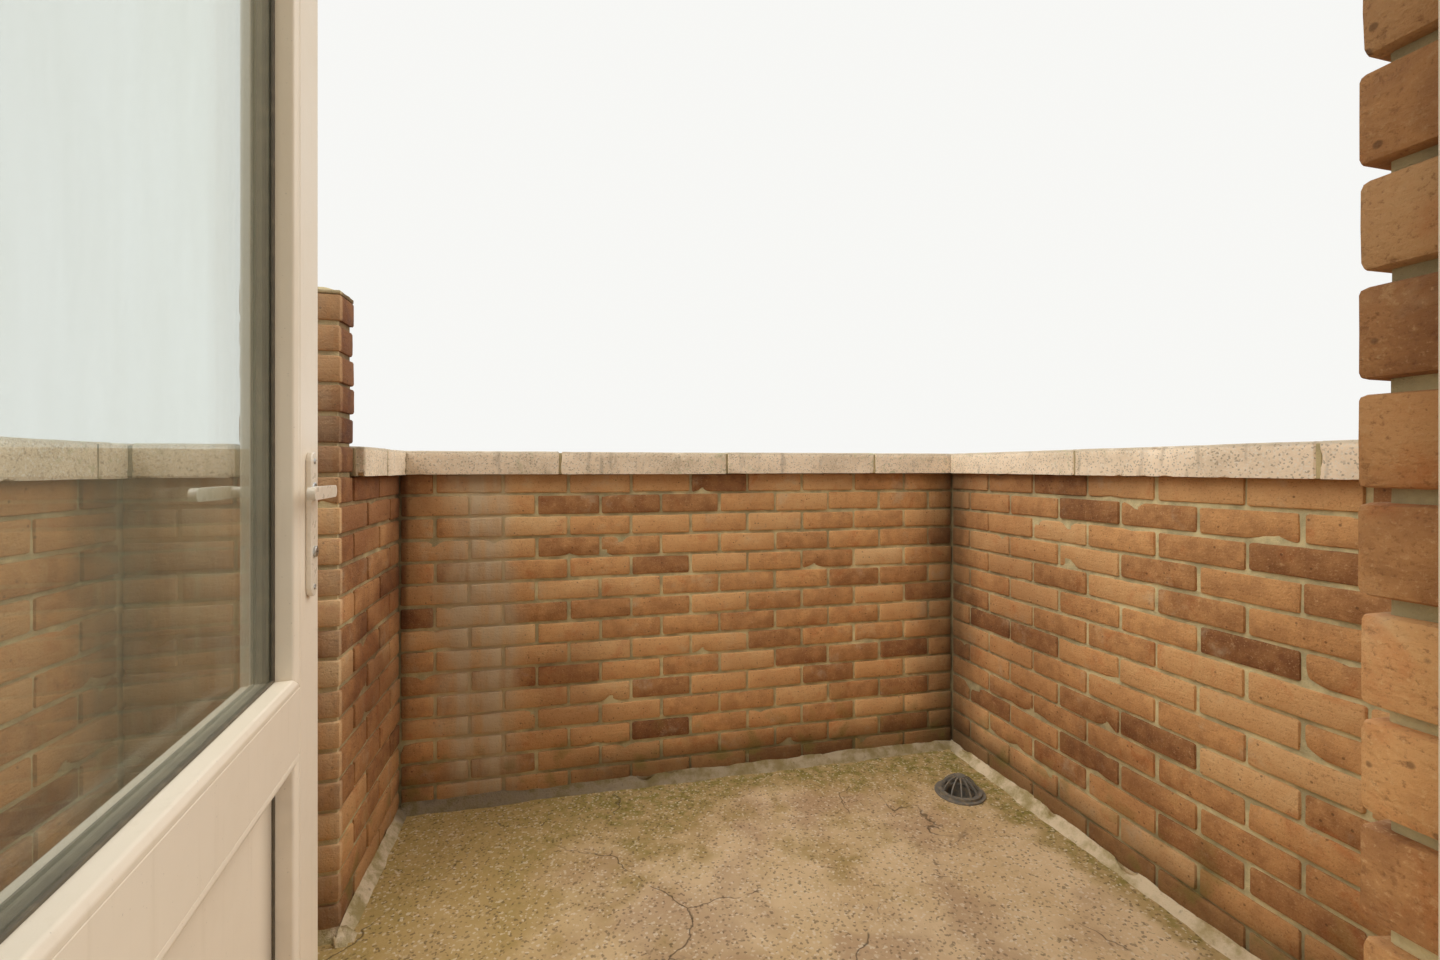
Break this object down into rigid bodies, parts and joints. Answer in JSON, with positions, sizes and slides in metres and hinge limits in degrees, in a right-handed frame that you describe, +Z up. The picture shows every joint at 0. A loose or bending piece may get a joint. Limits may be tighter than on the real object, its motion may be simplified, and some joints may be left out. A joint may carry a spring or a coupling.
{
  "type": "walled brick terrace with half-glazed door",
  "caption": "Small terrace closed in by low brick walls with concrete copings, entered from a slice of house wall through an outward-opening half-glazed door.",
  "frame": {"origin": "middle of the footprint, at the level that the walls and the floor slab stand on", "axes": "+X runs along the house wall, to the right when looking out of the door; +Y leads out from the house; +Z is up"},
  "size_m": [3, 2.48, 2.7],
  "materials": {
    "brick": "weathered fired brick in lime mortar",
    "concrete": "cast concrete",
    "coping": "pale cast stone",
    "screed": "worn mortar screed with moss",
    "mortar": "pale mortar",
    "plaster": "painted plaster",
    "door_cream": "satin cream extrusion",
    "glass": "clear, lightly tinted",
    "metal": "satin",
    "handle_coat": "cream powder coat",
    "outlet": "weathered dark grey"
  },
  "bodies": {
    "terrace": {"floor_slab": "concrete", "floor_screed": "screed", "back_wall": "brick", "left_wall": "brick", "right_wall": "brick", "corner_stack": "brick", "stack_cap": "mortar", "house_wall_left": "brick", "house_wall_right": "brick", "house_wall_over": "brick", "door_lintel": "coping", "door_step": "brick", "stone_sill": "coping", "plaster_left": "plaster", "plaster_right": "plaster", "plaster_over": "plaster", "coping_back": "coping", "coping_left": "coping", "coping_right": "coping", "coping_stack": "coping", "fillet_back": "mortar", "fillet_left": "mortar", "fillet_right": "mortar", "fillet_stack": "mortar", "fillet_house": "mortar", "outlet_body": "outlet", "outlet_grate": "outlet", "frame_hinge_jamb": "door_cream", "frame_lock_jamb": "door_cream", "frame_head": "door_cream", "frame_sill": "door_cream", "frame_hinges": "metal"},
    "door_leaf": {"leaf_hinges": "metal", "leaf_hinge_stile": "door_cream", "leaf_lock_stile": "door_cream", "leaf_top_rail": "door_cream", "leaf_middle_rail": "door_cream", "leaf_bottom_rail": "door_cream", "leaf_panel": "door_cream", "leaf_glass": "glass", "glazing_beads": "door_cream", "panel_beads": "door_cream", "weather_bar": "door_cream", "handle_plates": "handle_coat", "handle_levers": "handle_coat"}
  },
  "joints": [
    {"name": "door_hinge", "type": "hinge", "parent": "terrace", "child": "door_leaf", "pos_m": [-0.6505, -0.985, 0.263], "axis": [0, 0, 1], "range_deg": [-96, 0]}
  ]
}
